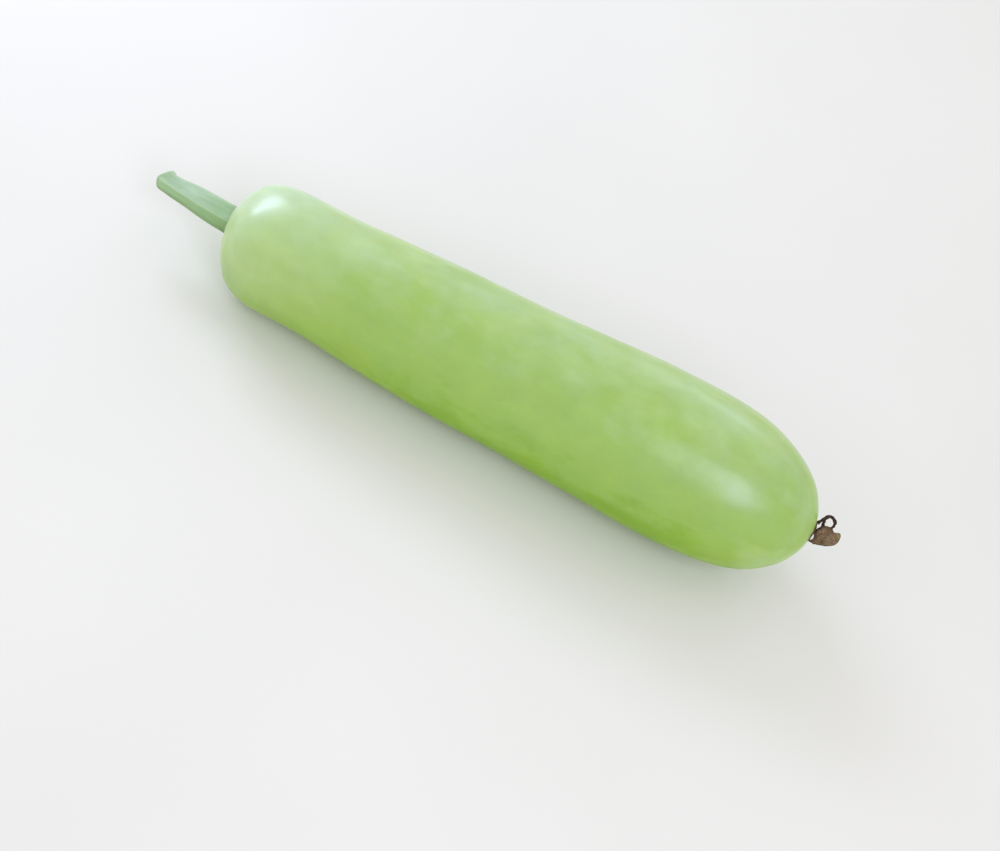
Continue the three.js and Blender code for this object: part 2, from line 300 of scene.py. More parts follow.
def skin_material():
    n = Nodes("gourd_skin")
    # soft patches a centimetre or so across, and paler and deeper streaks drawn out along the fruit
    patch = n.noise(62.0, 3.0, 0.55, n.place(scale=(0.8, 1, 1)))
    small = n.noise(150.0, 2.0, 0.5, n.place(scale=(0.7, 1, 1), loc=(0.3, 0.1, 0.7)))
    streak = n.noise(70.0, 2.0, 0.5, n.place(scale=(0.16, 1, 1), loc=(0.2, 0.9, 0.4)))
    # the tone carries the painted sheen and shade of the bloom attribute, with the random patches added on top
    tone = n.math("ADD", n.attr("bloom_and_painted_light"), TONE_ZERO)
    tone = n.math("ADD", tone, n.math("MULTIPLY", n.math("SUBTRACT", patch, 0.5), 0.30))
    tone = n.math("ADD", tone, n.math("MULTIPLY", n.math("SUBTRACT", small, 0.5), 0.12))
    tone = n.math("ADD", tone, n.math("MULTIPLY", n.math("SUBTRACT", streak, 0.5), 0.16))
    col = n.ramp(tone, [(0.0, DEEPEST), (0.09, DEEP), (0.22, MID), (0.44, PALE), (1.0, BLOOM_AND_PAINTED_SHEEN)], "LINEAR")
    # patches that lean to yellow and patches that lean to blue-green
    hue = n.noise(48.0, 3.0, 0.55, n.place(scale=(0.7, 1, 1), loc=(0.9, 0.5, 0.2)))
    col = n.mix(n.ramp(hue, [(0.38, 0.0), (0.62, 0.5)]), col, (1.035, 1.0, 0.90), "MULTIPLY")
    col = n.mix(n.ramp(hue, [(0.38, 0.5), (0.62, 0.0)]), col, (0.955, 0.99, 1.14), "MULTIPLY")
    # the neck is a paler yellow-green
    col = n.mix(n.attr("neck"), col, NECK)
    # cloudy lighter and darker patches
    cloud = n.noise(78.0, 1.5, 0.5, n.place(scale=(0.75, 1, 1), loc=(0.6, 0.3, 0.8)))
    cloud2 = n.noise(165.0, 2.0, 0.5, n.place(scale=(0.75, 1, 1), loc=(0.1, 0.8, 0.2)))
    value = n.math("ADD", 1.0, n.math("ADD", n.math("MULTIPLY", n.math("SUBTRACT", cloud, 0.5), 0.15),
                                      n.math("MULTIPLY", n.math("SUBTRACT", cloud2, 0.5), 0.11)))
    col = n.scale(col, value)
    # faint pale pores
    cell = n.voronoi(330.0, n.place(scale=(0.8, 1, 1)))
    keep = n.noise(420.0, 0.0, 0.5)
    pore = n.math("MULTIPLY", n.ramp(cell, [(0.10, 1.0), (0.30, 0.0)]), n.ramp(keep, [(0.5, 0.0), (0.62, 1.0)]))
    col = n.mix(n.math("MULTIPLY", pore, 0.07), col, PORE)
    # painted shade: darker green in the dimple; a dull olive ring round the scar
    col = n.mix(n.attr("dimple"), col, DIMPLE_SHADE_GREEN)
    col = n.mix(n.attr("scar"), col, SCAR_RING)
    n.set(Base_Color=col, IOR=1.45, Subsurface_Weight=0.2, Subsurface_Radius=(0.9, 1.0, 0.35),
          Subsurface_Scale=0.0035, Specular_Tint=(0.44, 0.50, 1.0), Coat_Roughness=0.28, Coat_IOR=1.58,
          Sheen_Roughness=0.4)
    # the wax is thick on the upper side and thin underneath
    n.set(Coat_Weight=0.7, Specular_IOR_Level=0.6, Sheen_Weight=0.1)
    coat = n.math("SUBTRACT", 0.85, n.math("MULTIPLY", n.attr("low"), 0.72), clamp=True)
    level = n.math("SUBTRACT", 0.75, n.math("MULTIPLY", n.attr("low"), 0.48), clamp=True)
    # and its grains scatter a glancing shine
    graze = n.ramp(n.facing(), [(0.42, 0.0), (0.62, 1.0)])
    n.set(Coat_Weight=n.math("MULTIPLY", coat, n.math("SUBTRACT", 1.0, n.math("MULTIPLY", graze, 0.62))))
    n.set(Specular_IOR_Level=n.math("MULTIPLY", level, n.math("SUBTRACT", 1.0, n.math("MULTIPLY", graze, 0.55))))
    n.set(Sheen_Weight=n.math("MULTIPLY", n.attr("bloom_and_painted_light"), 0.55, clamp=True))
    rough = n.math("ADD", 0.38, n.math("MULTIPLY", n.math("SUBTRACT", small, 0.5), 0.22))
    n.set(Roughness=rough)
    fine = n.noise(900.0, 2.0, 0.5)
    soft = n.noise(95.0, 2.0, 0.5, n.place(scale=(0.7, 1, 1)))
    b1 = n.bump(soft, 0.0005, 0.22)
    b2 = n.bump(n.math("ADD", fine, n.math("MULTIPLY", pore, 0.8)), 0.00010, 0.30, b1)
    n.set(Normal=b2)
    return n.mat


TONE_ZERO = 0.22
DEEPEST = lin(137, 178, 50)
DEEP = lin(152, 187, 78)
MID = lin(152, 187, 73)
PALE = lin(172, 201, 127)
BLOOM_AND_PAINTED_SHEEN = lin(202, 229, 199)
NECK = lin(181, 206, 122)
PORE = lin(205, 226, 165)
DIMPLE_SHADE_GREEN = lin(124, 164, 70)
SCAR_RING = lin(128, 132, 62)


def stem_material():
    n = Nodes("stem_skin")
    # faint fibres along the stalk and soft clouds
    fib = n.noise(700.0, 2.0, 0.5, n.place(scale=(0.05, 1, 1)))
    cloud = n.noise(170.0, 3.0, 0.55, n.place(scale=(0.35, 1, 1), loc=(0.4, 0.2, 0)))
    tone = n.math("ADD", n.math("MULTIPLY", fib, 0.25), n.math("MULTIPLY", cloud, 0.75))
    bluish = n.ramp(tone, [(0.30, lin(147, 179, 140)), (0.50, lin(165, 193, 160)), (0.70, lin(180, 205, 178))], "LINEAR")
    green = n.ramp(tone, [(0.30, lin(137, 175, 118)), (0.50, lin(151, 187, 134)), (0.70, lin(164, 196, 150))], "LINEAR")
    # the upper faces' bluish bloom, partly painted light
    col = n.mix(n.attr("bloom_and_painted_light"), green, bluish)
    # a light line along each ridge, yellower and deeper towards the foot, a painted shade band along the underside, a
    # thin dried rim at the cut
    col = n.mix(n.math("MULTIPLY", n.attr("ridge"), 0.5), col, lin(190, 211, 172))
    col = n.mix(n.attr("foot"), col, lin(138, 175, 110))
    col = n.mix(n.attr("painted_underside_shade"), col, lin(114, 140, 86))
    col = n.mix(n.attr("base"), col, lin(156, 194, 118))
    col = n.mix(n.attr("rim"), col, lin(158, 184, 138))
    n.set(Base_Color=col, IOR=1.42, Subsurface_Weight=0.12, Subsurface_Radius=(0.8, 1.0, 0.4), Subsurface_Scale=0.0015,
          Coat_Weight=0.25, Coat_Roughness=0.35, Coat_IOR=1.4)
    n.set(Roughness=n.math("ADD", 0.46, n.math("MULTIPLY", cloud, 0.2)))
    n.set(Normal=n.bump(n.math("ADD", n.math("MULTIPLY", fib, 0.6), cloud), 0.00016, 0.4))
    return n.mat


def cut_material():
    n = Nodes("stem_cut")
    grain = n.noise(2600.0, 2.0, 0.6)
    bundle = n.attr("bundle")
    r = n.attr("rad")
    col = n.ramp(r, [(0.0, lin(196, 204, 160)), (0.45, lin(186, 202, 146)), (0.8, lin(160, 184, 112)), (1.0, lin(118, 150, 82))], "LINEAR")
    col = n.mix(bundle, col, lin(128, 132, 78))
    col = n.mix(n.math("MULTIPLY", grain, 0.5), col, lin(160, 158, 112))
    n.set(Base_Color=col, IOR=1.4, Subsurface_Weight=0.1, Subsurface_Radius=(0.8, 1.0, 0.4), Subsurface_Scale=0.001)
    n.set(Roughness=n.math("ADD", 0.6, n.math("MULTIPLY", grain, 0.2)))
    n.set(Normal=n.bump(grain, 0.0002, 0.6))
    return n.mat


def scar_material():
    n = Nodes("scar_cork")
    a = n.noise(900.0, 4.0, 0.65)
    c = n.voronoi(1300.0)
    col = n.ramp(n.math("ADD", n.math("MULTIPLY", a, 0.7), n.math("MULTIPLY", c, 0.5)),
                 [(0.25, lin(44, 31, 20)), (0.5, lin(76, 56, 36)), (0.8, lin(124, 102, 68))], "LINEAR")
    col = n.mix(n.attr("rim"), col, lin(70, 58, 30))
    n.set(Base_Color=col, IOR=1.4)
    n.set(Roughness=n.math("ADD", 0.72, n.math("MULTIPLY", a, 0.2)))
    n.set(Normal=n.bump(n.math("ADD", a, c), 0.0004, 0.8))
    return n.mat


def petal_material(name, dark, mid, light, edge, spread=1.0):
    n = Nodes(name)
    a = n.noise(420.0, 3.0, 0.6)
    c = n.noise(1150.0, 2.0, 0.6, n.place(loc=(0.1, 0.7, 0.3)))
    f = n.noise(2400.0, 3.0, 0.6, n.place(scale=(0.25, 1, 1)))
    tone = n.math("ADD", n.math("MULTIPLY", a, 0.62 * spread), n.math("MULTIPLY", c, 0.38 * spread))
    tone = n.math("ADD", tone, n.math("MULTIPLY", f, 0.16))
    tone = n.math("SUBTRACT", tone, n.math("MULTIPLY", n.attr("vein"), 0.12), clamp=True)
    col = n.ramp(tone, [(0.30, dark), (0.56, mid), (0.82, light)], "LINEAR")
    # warmer and greyer blotches
    col = n.mix(n.ramp(n.noise(600.0, 1.0, 0.5, n.place(loc=(0.5, 0.2, 0.9))), [(0.4, 0.0), (0.62, 0.7)]), col,
                (1.12, 0.96, 0.84), "MULTIPLY")
    col = n.mix(n.attr("edge"), col, edge)
    col = n.mix(n.attr("olive"), col, lin(158, 150, 84))
    n.set(Base_Color=col, IOR=1.4, Subsurface_Weight=0.05, Subsurface_Radius=(0.8, 0.5, 0.3), Subsurface_Scale=0.0006)
    n.set(Roughness=n.math("ADD", 0.60, n.math("MULTIPLY", f, 0.25)))
    n.set(Normal=n.bump(n.math("ADD", f, n.math("ADD", c, n.attr("vein"))), 0.00022, 0.6))
    return n.mat


# ------------------------------------------------------------------------------------------------
# The fruit
# ------------------------------------------------------------------------------------------------
wander, cap = through(CENTRE_WANDER), through(CAP_OUTLINE)
SIDE_U, SIDE_W = math.cos(ROLL), -math.sin(ROLL)


def fruit_point(x, r, a):
    """The fruit's surface at outline point (x, r) and angle a, as x, u, w."""
    u, w = r * np.cos(a), r * np.sin(a)
    swell = (1 + 0.009 * np.sin(2 * a) * (0.7 + 0.3 * np.sin(x / 55 + 0.8))
             + 0.005 * np.sin(3 * a) * np.sin(x / 70 + 0.4)
             + 0.013 * np.sin(5 * a) * np.exp(-((x - 4) / 22) ** 2) * smooth(10, 20, r))
    U, W = u * swell, w * swell
    X = x - TIP_SLANT * np.exp(-((LENGTH - x) / 38) ** 2) * U
    # the neck end is a little slanted; its dimple sits off the centre line and faces straight along x
    neck = x < 40
    U = U + np.where(neck, STALK_OFFSET * (1 - smooth(9, 21, r)), 0.0)
    tilt = np.where(neck, smooth(8.9, 11.9, r), 1.0)
    X = X + np.where(neck, tilt * (1 - smooth(21, 24, r)) * (cap(np.hypot(U, W)) - X), 0.0)
    X = X - tilt * NECK_SLANT * np.exp(-(x / 38) ** 2) * U
    return X, U + SIDE_U * wander(x), W + SIDE_W * wander(x)


def make_fruit():
    RINGS, SIDES = 400, 236
    q = np.linspace(0, 1, 6001)
    C = spline(FRUIT_OUTLINE, q)
    d = np.r_[0, np.cumsum(np.hypot(*np.diff(C, axis=0).T))]
    # closer rings at both ends
    total = d[-1]
    g = np.linspace(0, 1, 4001)
    dens = 1.0 / (0.28 + 0.72 * smooth(0.0, 0.16, g) * smooth(0.0, 0.12, 1 - g))
    s_of = np.interp(g, g, np.r_[0, np.cumsum((dens[1:] + dens[:-1]) / 2)])
    s_of /= s_of[-1]
    gs = np.interp(np.linspace(0, 1, RINGS + 2), s_of, g)[1:-1]
    xs = np.interp(gs * total, d, C[:, 0])
    rs = np.interp(gs * total, d, C[:, 1])
    a = np.linspace(0, 2 * np.pi, SIDES, endpoint=False)
    A, XX = np.meshgrid(a, xs)
    RR = np.repeat(rs[:, None], SIDES, 1)
    X, U, W = fruit_point(XX, RR, A)
    P = np.stack([X, U, W], -1)
    # outward normals of the smooth surface
    du = np.roll(P, -1, 1) - np.roll(P, 1, 1)
    dv = np.gradient(P, axis=0)
    N = np.cross(du, dv)
    N /= np.linalg.norm(N, axis=2)[..., None]
    mid = np.stack([X * 0 + XX, X * 0, X * 0], -1)
    if ((P - mid) * N).sum() < 0:
        N = -N
    body = smooth(9.5, 16, RR)  # no relief inside the dimple's wall
    relief = (0.16 * Waves(46, 26, 11)(X, U * 1.3, W * 1.3) + 0.035 * Waves(19, 30, 12)(X * 0.8, U, W)
              + 0.007 * Waves(7.5, 36, 13)(X, U, W))
    # faint lengthwise ribs that start at the stalk and die out along the neck
    ribs = 0.05 * np.cos(10 * A + 0.5 + 0.4 * np.sin(2 * A)) * np.exp(-(X / 42.0) ** 2) * smooth(10, 24, RR)
    crease = -0.16 * np.abs(np.sin(5 * A + 0.3 + 0.5 * np.sin(3 * A))) ** 3 * np.exp(-((RR - 12) / 4.2) ** 2) * (X < 30)
    # small tucks round the scar
    tuck = -0.14 * (0.5 + 0.5 * np.cos(11 * A + 1.5 * np.sin(2 * A))) * np.exp(-((RR - 6.3) / 2.6) ** 2) * (X > 300)
    h = body * (relief - 0.34) + body * ribs + crease + tuck
    P = P + N * h[..., None]
    pole0 = np.array([4.25, STALK_OFFSET + SIDE_U * wander(4.2), SIDE_W * wander(4.2)])
    pole1 = np.array([LENGTH - 0.35, SIDE_U * wander(LENGTH), SIDE_W * wander(LENGTH)])
    V = np.concatenate([P.reshape(-1, 3), pole0[None], pole1[None]])
    row = to_row(V[:, 0], V[:, 1], V[:, 2])
    # the belly settles softly onto the surface under it
    z = row[:, 2]
    k = 0.55
    zc = 0.5 * (z + np.sqrt(z * z + k * k))
    low = 0.5 * (-0.7 - 0.34 + math.sqrt((0.7 + 0.34) ** 2 + k * k))
    row[:, 2] = np.where(z < 6, np.maximum(zc - low * (1 - smooth(0.2, 5, z)), 0.0), z)
    f = tube_faces(RINGS, SIDES, RINGS * SIDES, RINGS * SIDES + 1)
    # attributes
    fa = np.concatenate([A.ravel(), [0, 0]])
    fr = np.concatenate([RR.ravel(), [0, 0]])
    fx = np.concatenate([XX.ravel(), [4.25, LENGTH]])
    t = fx / LENGTH
    # a pale waxy bloom, partly painted light: paler along the upper side as a painted sheen of the light above, deeper
    # green underneath as painted shade, a painted pale halo round the neck end's highlight, and a little at the flower
    # end
    up = np.cos(fa) * smooth(0, 12, fr)
    bloom_and_painted_light = 0.03 + np.where(up > 0, 0.12 * up + 0.05 * up ** 2, 0.22 * up)
    bloom_and_painted_light += 0.42 * np.exp(-fx / 22.0)
    bloom_and_painted_light += 0.07 * smooth(0.1, 0.8, up) * np.exp(-((fx - 55) / 45) ** 2)
    # painted highlight: a wider pale halo on the neck end's upper shoulder
    bloom_and_painted_light += 0.15 * smooth(-0.1, 0.7, up) * np.exp(-(fx / 38) ** 2) * smooth(8, 14, fr)
    neck = 0.75 * (1 - smooth(25, 95, fx)) * (0.5 - 0.5 * np.clip(up, -1, 1)) * smooth(-1.1, -0.4, up) * smooth(0, 14, fr)
    low = smooth(0.25, 0.9, -up) * smooth(0.02, 0.2, t)
    # painted light and shade: paler under the flower end and along the neck's underside where light bounced up, a touch
    # darker on the flower end's upper side, a little deeper beside the belly and along the bottom
    bloom_and_painted_light += 0.02 * smooth(0.95, 1.0, t) + 0.33 * smooth(0.84, 0.95, t) * smooth(0.36, 0.85, -up)
    bloom_and_painted_light -= 0.08 * smooth(0.92, 0.975, t) * smooth(-0.2, 0.5, up)
    bloom_and_painted_light += 0.055 * np.exp(-((fx - 75) / 40) ** 2) * smooth(0.1, 0.8, -up)
    bloom_and_painted_light -= 0.035 * np.exp(-((fx - 225) / 65) ** 2) * np.exp(-((up + 0.45) / 0.3) ** 2)
    bloom_and_painted_light -= 0.04 * smooth(0.72, 1.0, -up) * smooth(0.08, 0.3, t) * (1 - smooth(0.88, 0.97, t))
    # painted shade: deeper green in the crease round the stalk, and short darker streaks that run out from it
    dimple = np.maximum(0.8 * (1 - smooth(8.4, 9.0, fr)), 0.30 * (1 - smooth(9.0, 12.5, fr)))
    streaks = smooth(0.1, 0.9, np.cos(10 * fa + 1.6 * np.sin(2 * fa + 0.4) + 0.7 * np.sin(5 * fa)))
    dimple = np.maximum(dimple, 0.26 * streaks * (1 - smooth(10.5, 19.0, fr))) * (fx < 40)
    scar = (1 - smooth(5.0, 8.0, fr)) * (fx > 300) * 0.8
    attrs = {"bloom_and_painted_light": bloom_and_painted_light, "neck": neck, "low": low, "dimple": dimple, "scar": scar}
    return mesh_object("fruit_skin", row, f, attrs, skin_material(), "gourd_fruit")


# ------------------------------------------------------------------------------------------------
# The stalk
# ------------------------------------------------------------------------------------------------
stalk_r, stalk_u = through(STALK_OUTLINE), through(STALK_PATH)
CUT_X, CUT_SLANT = -40.68, (0.2, -0.42)


def stalk_point(x, r, a, ridge):
    lead = math.radians(107) - math.radians(9) * smooth(-20, -42, x)
    five = 1 + ridge * (0.082 * np.cos(5 * (a - lead)) + 0.018 * np.cos(10 * (a - lead)))
    U = r * np.cos(a) * five + stalk_u(x)
    W = r * np.sin(a) * five
    X = x + smooth(-34, -41, x) * (CUT_SLANT[0] * (U - 5.5) + 0.25 * np.maximum(U - 6.0, 0) + CUT_SLANT[1] * W)
    return X, U, W + SIDE_W * wander(0.0)


def make_stalk():
    SIDES = 160
    a = np.linspace(0, 2 * np.pi, SIDES, endpoint=False)
    # side, from the foot inside the dimple to the cut
    xs = np.r_[np.linspace(4.45, 0.5, 16), np.linspace(0.2, -39.4, 150)]
    rs = stalk_r(np.maximum(xs, -40.0))
    rs = rs + 2.1 * smooth(-1.8, 3.2, xs) ** 2.2
    # rounded lip and then the cut face, ring by ring to the middle
    lip = np.linspace(0.1, math.pi / 2, 6)
    R_end = 5.28
    lx = -39.6 - (-CUT_X - 39.6) * np.sin(lip)
    lr = R_end - 0.75 * (1 - np.cos(lip))
    fr = np.linspace(0.97, 0.04, 26) * lr[-1]
    n_side, n_lip, n_face = len(xs), len(lip), len(fr)
    X0 = np.r_[xs, lx, np.full(n_face, CUT_X)]
    R0 = np.r_[rs, lr, fr]
    A, XX = np.meshgrid(a, X0)
    RR = np.repeat(R0[:, None], SIDES, 1)
    ridge = smooth(-1, 4.5, RR) * (1 - 0.85 * smooth(-1.5, 3.2, XX)) * (1 - 0.45 * smooth(-34, -40.5, XX))
    X, U, W = stalk_point(XX, RR, A, ridge)
    lead = math.radians(107) - math.radians(9) * smooth(-20, -42, XX)
    # fine strands between the ridges, small knots
    side = np.zeros_like(X)
    side[:n_side] = 1
    strands = 0.008 * np.cos(20 * (A - lead) + 0.8 * np.sin(XX / 9.0)) + 0.006 * np.cos(35 * (A - lead) + 1.3 * np.sin(XX / 6.0 + 1))
    # each ridge is crisper than a plain wave
    crest = 0.16 * np.clip(np.cos(5 * (A - lead)), 0, 1) ** 14 * (1 - 0.5 * smooth(-34, -40.5, XX))
    lumps = 0.06 * Waves(9, 24, 31)(X * 0.4, U, W)
    proud = 0.58 * np.clip(np.cos(A), 0, 1) ** 2 * smooth(-2, -15, XX) * (1 + 0.35 * smooth(-36, -40, XX))
    h = side * (strands + crest + lumps + proud - 0.12)
    cu, cw = stalk_u(XX), SIDE_W * wander(0.0)
    D = np.stack([np.zeros_like(U), U - cu, W - cw], -1)
    D /= np.maximum(np.linalg.norm(D, axis=2)[..., None], 1e-6)
    P = np.stack([X, U, W], -1) + D * h[..., None]
    # relief on the cut face: a sunk pith, and a ring of tougher strands
    rho = RR / lr[-1]
    face = np.zeros_like(X)
    face[n_side + n_lip:] = 1
    ang5 = np.cos(5 * (A - lead))
    bundle = np.exp(-((rho - 0.68 - 0.05 * ang5) / 0.085) ** 2) * smooth(0.25, 0.9, 0.5 + 0.5 * np.cos(10 * (A - lead)))
    bundle = bundle * face
    sunk = 0.55 * (1 - smooth(0.15, 0.55, rho)) + 0.12 * (1 - smooth(0.8, 0.98, rho)) - 0.16 * bundle
    sunk = sunk + 0.06 * Waves(2.2, 30, 33)(X, U, W)
    P[..., 0] += face * sunk
    pole = P[-1].mean(0)
    V = np.concatenate([P.reshape(-1, 3), pole[None]])
    row = to_row(V[:, 0], V[:, 1], V[:, 2])
    rings = len(X0)
    f = tube_faces(rings, SIDES, None, rings * SIDES, flip=True)
    # close the hidden foot
    f.append(tuple(range(SIDES)))
    rid = np.clip(ang5, 0, 1) ** 10 * side
    # a waxy blue bloom on the upper faces, up to the ridge, partly painted light where these faces turn up to the
    # lamps; the faces under it are plain green
    turn = np.angle(np.exp(1j * (A - lead)))
    stalk_bloom_and_painted_light = smooth(0.10, -0.06, turn) * smooth(-2.9, -2.2, turn)
    stalk_bloom_and_painted_light = np.clip(stalk_bloom_and_painted_light + 0.35 * smooth(1.6, 2.6, turn) + 0.35 * smooth(-2.4, -2.9, turn), 0, 1) * (1 - 0.25 * smooth(-34, -40, XX))
    foot = (0.35 + 0.4 * (1 - stalk_bloom_and_painted_light)) * smooth(-24, 1.0, XX) * side
    base = 0.75 * smooth(-0.8, 2.0, XX) * side
    # painted shade: a darker band along the underside, just beside a ridge
    painted_underside_shade = 0.55 * np.exp(-((turn - 1.15) / 0.30) ** 2) * side
    rim = np.zeros_like(X)
    rim[n_side:n_side + n_lip] = 1
    rim += side * smooth(-39.0, -39.5, XX)
    at = {"ridge": rid, "bloom_and_painted_light": stalk_bloom_and_painted_light, "foot": foot, "base": base, "painted_underside_shade": painted_underside_shade, "rim": np.clip(rim, 0, 1) * 0.6, "bundle": bundle, "rad": rho * face}
    at = {k: np.r_[v.ravel(), v[-1, 0]] for k, v in at.items()}
    at["rad"][-1] = 0
    ob = mesh_object("stalk", row, f, at, [stem_material(), cut_material()], "stem")
    me = ob.data
    first_face = (n_side + n_lip - 1) * SIDES
    idx = np.zeros(len(me.polygons), np.int32)
    idx[first_face:rings * SIDES] = 1
    me.polygons.foreach_set("material_index", idx)
    me.update()
    return ob


# ------------------------------------------------------------------------------------------------
# The dried flower
# ------------------------------------------------------------------------------------------------
TIP_U, TIP_W = SIDE_U * wander(LENGTH), SIDE_W * wander(LENGTH)


def make_scar():
    SIDES = 96
    a = np.linspace(0, 2 * np.pi, SIDES, endpoint=False)
    R = SCAR_RADIUS
    prof = [(LENGTH - 0.75, 4.9)] + [(LENGTH - 0.35 + 0.52 * math.sin(t), 4.85 + 0.3 * math.cos(t)) for t in np.linspace(-0.6, 1.5, 9)]
    prof += [(LENGTH + 0.17, 4.6), (LENGTH + 0.17, 4.2), (LENGTH + 0.18, 3.7), (LENGTH + 0.2, 3.2), (LENGTH + 0.22, 2.6),
             (LENGTH + 0.3, 2.0), (LENGTH + 0.45, 1.4), (LENGTH + 0.75, 0.95), (LENGTH + 0.85, 0.6), (LENGTH + 0.85, 0.25)]
    prof = np.array(prof)
    d = np.r_[0, np.cumsum(np.hypot(*np.diff(prof, axis=0).T))]
    s = np.linspace(0, d[-1], 46)
    x0, r0 = np.interp(s, d, prof[:, 0]), np.interp(s, d, prof[:, 1])
    A, XX = np.meshgrid(a, x0)
    RR = np.repeat(r0[:, None], SIDES, 1)
    k = 1 + 0.03 * np.sin(5 * A + 0.6) + 0.012 * np.sin(13 * A)
    U, W = RR * k * np.cos(A), RR * k * np.sin(A)
    top = np.zeros_like(XX)
    top[6:] = 1
    rough = 0.10 * Waves(1.6, 40, 51)(XX, U, W) + 0.07 * Waves(0.8, 40, 52)(XX, U, W)
    cracks = -0.22 * np.abs(np.cos(4.5 * A + np.sin(3 * A))) ** 14 * smooth(1.2, 2.4, RR)
    X = XX + top * (rough + cracks)
    V = np.concatenate([np.stack([X, U + SCAR_OFFSET + TIP_U, W + TIP_W], -1).reshape(-1, 3),
                        [[LENGTH + 0.85, SCAR_OFFSET + TIP_U, TIP_W]]])
    row = to_row(V[:, 0], V[:, 1], V[:, 2])
    f = tube_faces(len(s), SIDES, None, len(s) * SIDES)
    f.append(tuple(reversed(range(SIDES))))
    rim = np.exp(-((RR - 5.0) / 0.5) ** 2)
    at = {"rim": np.r_[rim.ravel(), 0] * 0.5}
    return mesh_object("flower_scar", row, f, at, scar_material(), "blossom_scar")


def petal_sheet_w(x, u):
    out = x - BROAD_PETAL[0, 0]
    return 0.2 + 1.5 * np.sin(0.26 * out) + 0.05 * out * np.sin(1.1 * u + 0.4)


def make_broad_petal():
    RINGS, SIDES = 26, 140
    n = len(BROAD_PETAL)
    closed = np.concatenate([BROAD_PETAL, BROAD_PETAL[:1]])
    # smooth closed outline
    q = np.linspace(0, n, SIDES, endpoint=False)
    i = np.floor(q).astype(int)
    t = (q - i)[:, None]
    P = [BROAD_PETAL[(i + o) % n] for o in (-1, 0, 1, 2)]
    v0, v1 = (P[2] - P[0]) * 0.5, (P[3] - P[1]) * 0.5
    rim = (2 * P[1] - 2 * P[2] + v0 + v1) * t ** 3 + (-3 * P[1] + 3 * P[2] - 2 * v0 - v1) * t ** 2 + v0 * t + P[1]
    # ragged edge
    ang = np.linspace(0, 2 * np.pi, SIDES, endpoint=False)
    rag = 1 + 0.012 * np.sin(23 * ang) + 0.010 * np.sin(37 * ang + 1) + 0.008 * np.sin(61 * ang + 2)
    rim = PETAL_MIDDLE + (rim - PETAL_MIDDLE) * rag[:, None] * np.where(rim[:, :1] > 334, (0.988, 1.04), (1.0, 1.0))
    rho = np.linspace(0, 1, RINGS + 1)[1:]
    X = PETAL_MIDDLE[0] + rho[:, None] * (rim[:, 0] - PETAL_MIDDLE[0])
    U = PETAL_MIDDLE[1] + rho[:, None] * (rim[:, 1] - PETAL_MIDDLE[1])
    A = np.repeat(ang[None], RINGS, 0)
    RHO = np.repeat(rho[:, None], SIDES, 1)

    def height(x, u, rr, aa):
        base = np.array([332.6, -0.8])
        va = np.arctan2(u - base[1], x - base[0])
        out = np.hypot(x - base[0], u - base[1])
        vein = np.zeros_like(x)
        for v in (-0.42, -0.20, 0.02, 0.22, 0.42, 0.64):
            vein = vein + np.exp(-(((va - v) * out - 0.25 * np.sin(out * 0.8 + v * 9)) / 0.22) ** 2)
        vein = vein * smooth(0.5, 3, out) * (1 - 0.5 * smooth(8, 13, out))
        crumple = 0.30 * Waves(4.2, 22, 61)(x, u, 0 * x) + 0.12 * Waves(1.7, 26, 62)(x, u, 0 * x)
        curl = 0.55 * smooth(0.72, 1.0, rr) ** 2 * (np.sin(2 * aa + 0.6) + 0.5 * np.sin(5 * aa + 1))
        return petal_sheet_w(x, u) + crumple + curl + 0.05 * vein, np.clip(vein, 0, 1)

    H, vein = height(X, U, RHO, A)
    hc, vc = height(np.array([PETAL_MIDDLE[0]]), np.array([PETAL_MIDDLE[1]]), np.array([0.0]), np.array([0.0]))
    th = 0.26 - 0.10 * smooth(0.7, 1.0, RHO)
    front = np.stack([X, U, H + th], -1)
    back = np.stack([X, U, H - th], -1)[::-1]
    P = np.concatenate([front, back])
    V = np.concatenate([P.reshape(-1, 3), [[PETAL_MIDDLE[0], PETAL_MIDDLE[1], hc[0] + 0.26]],
                        [[PETAL_MIDDLE[0], PETAL_MIDDLE[1], hc[0] - 0.26]]])
    row = to_row(V[:, 0], V[:, 1], V[:, 2])
    m = 2 * RINGS
    f = tube_faces(m, SIDES, m * SIDES, m * SIDES + 1, flip=True)
    edge = smooth(0.84, 1.0, RHO) * (0.55 + 0.45 * np.sin(3 * A + 2.2) ** 2)
    edge = np.maximum(edge, 0.75 * np.exp(-(((X - 336.6) / 2.6) ** 2 + ((U - 5.4) / 1.0) ** 2)))
    olive = np.exp(-(((X - 343.9) / 1.2) ** 2 + ((U - 4.3) / 0.9) ** 2)) * 0.55
    at = {"vein": vein, "edge": edge * 0.85, "olive": olive}
    at = {k: np.r_[v.ravel(), v[::-1].ravel(), v[0, 0], v[0, 0]] for k, v in at.items()}
    mat = petal_material("dry_petal", lin(78, 60, 44), lin(122, 102, 76), lin(158, 138, 108), lin(50, 36, 24))
    return mesh_object("petal_two_lobed", row, f, at, mat, "petal_broad")


